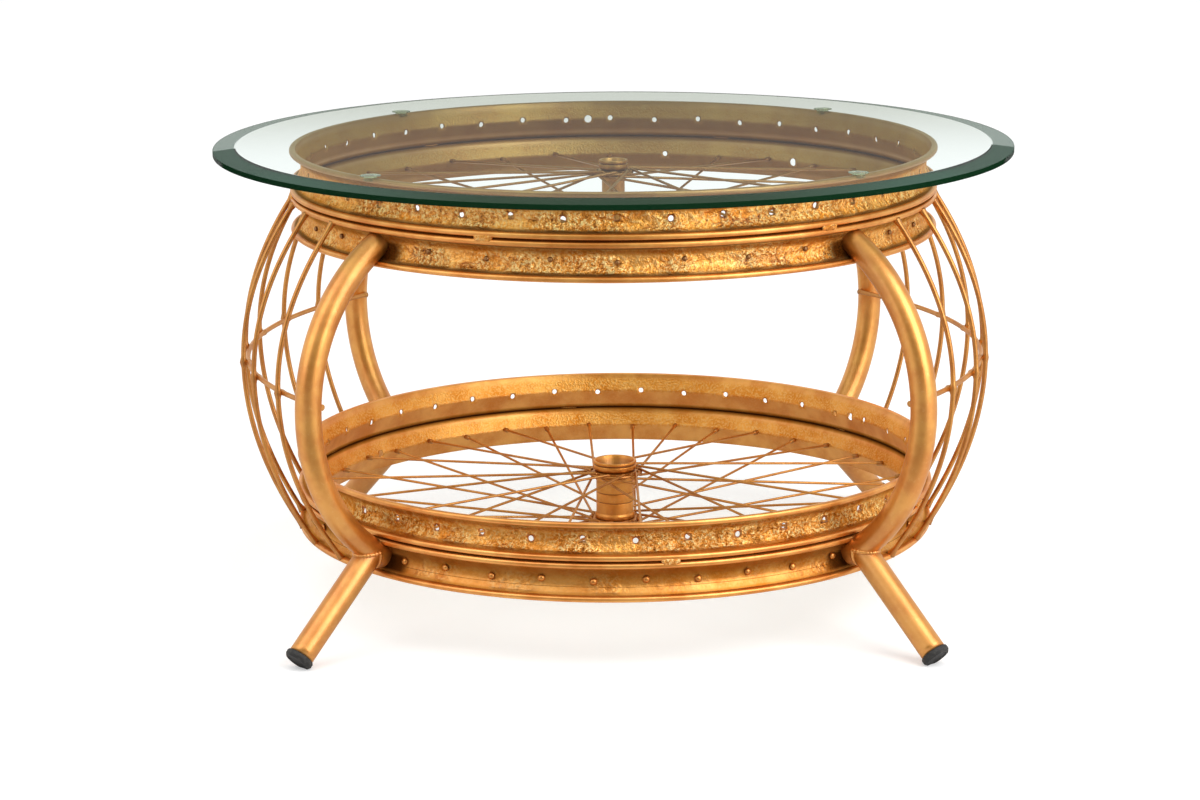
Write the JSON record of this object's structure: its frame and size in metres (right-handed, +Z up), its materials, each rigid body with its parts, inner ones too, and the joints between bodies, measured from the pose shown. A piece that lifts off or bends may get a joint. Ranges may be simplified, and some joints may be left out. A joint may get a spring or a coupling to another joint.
{
  "type": "coffee table",
  "caption": "Round glass-topped coffee table built from stacked gold-painted bicycle rims, with laced spoke wheels, bowed tube legs on splayed feet and wire side baskets.",
  "frame": {"origin": "floor level, under the centre of the round glass", "axes": "+Z up; -Y is the front, the side that the picture shows; +X is the right of someone who looks at the front"},
  "size_m": [0.8, 0.8, 0.46],
  "materials": {
    "gold_rim": "satin gold paint over pitted steel rims",
    "gold_tube": "satin gold paint over smooth tube, wire, hubs and spokes",
    "glass": "clear float glass with green edges and a wide polished bevel",
    "clear_bumper": "soft clear plastic, slightly green",
    "black_cap": "matt black moulded plastic"
  },
  "bodies": {
    "stand": {"upper_top_rim": "gold_rim", "upper_spoked_rim": "gold_rim", "lower_top_rim": "gold_rim", "lower_spoked_rim": "gold_rim", "upper_rim_tab_1": "gold_rim", "upper_rim_tab_2": "gold_rim", "upper_rim_tab_3": "gold_rim", "upper_rim_tab_4": "gold_rim", "upper_rim_tab_5": "gold_rim", "upper_rim_tab_6": "gold_rim", "lower_rim_tab_1": "gold_rim", "lower_rim_tab_2": "gold_rim", "lower_rim_tab_3": "gold_rim", "lower_rim_tab_4": "gold_rim", "lower_rim_tab_5": "gold_rim", "lower_rim_tab_6": "gold_rim", "upper_hub_shell": "gold_tube", "lower_hub_shell": "gold_tube", "upper_spokes_top": "gold_tube", "upper_spokes_bottom": "gold_tube", "lower_spokes_top": "gold_tube", "lower_spokes_bottom": "gold_tube", "leg_front_left": "gold_tube", "leg_front_right": "gold_tube", "leg_back_right": "gold_tube", "leg_back_left": "gold_tube", "foot_tube_front_left": "gold_tube", "foot_tube_front_right": "gold_tube", "foot_tube_back_right": "gold_tube", "foot_tube_back_left": "gold_tube", "foot_cap_front_left": "black_cap", "foot_cap_front_right": "black_cap", "foot_cap_back_right": "black_cap", "foot_cap_back_left": "black_cap", "glass_bumper_front_left": "clear_bumper", "glass_bumper_front_right": "clear_bumper", "glass_bumper_back_right": "clear_bumper", "glass_bumper_back_left": "clear_bumper", "side_hoop_left": "gold_tube", "side_hoop_right": "gold_tube", "side_wire_left_1": "gold_tube", "side_wire_left_2": "gold_tube", "side_wire_left_3": "gold_tube", "side_wire_left_4": "gold_tube", "side_wire_left_5": "gold_tube", "side_wire_left_6": "gold_tube", "side_wire_left_7": "gold_tube", "side_wire_right_1": "gold_tube", "side_wire_right_2": "gold_tube", "side_wire_right_3": "gold_tube", "side_wire_right_4": "gold_tube", "side_wire_right_5": "gold_tube", "side_wire_right_6": "gold_tube", "side_wire_right_7": "gold_tube"},
    "glass": {"glass_top": "glass"}
  },
  "joints": [
    {"name": "glass_lift", "type": "slide", "parent": "stand", "child": "glass", "axis": [0, 0, 1], "range_m": [0, 0.15]}
  ]
}
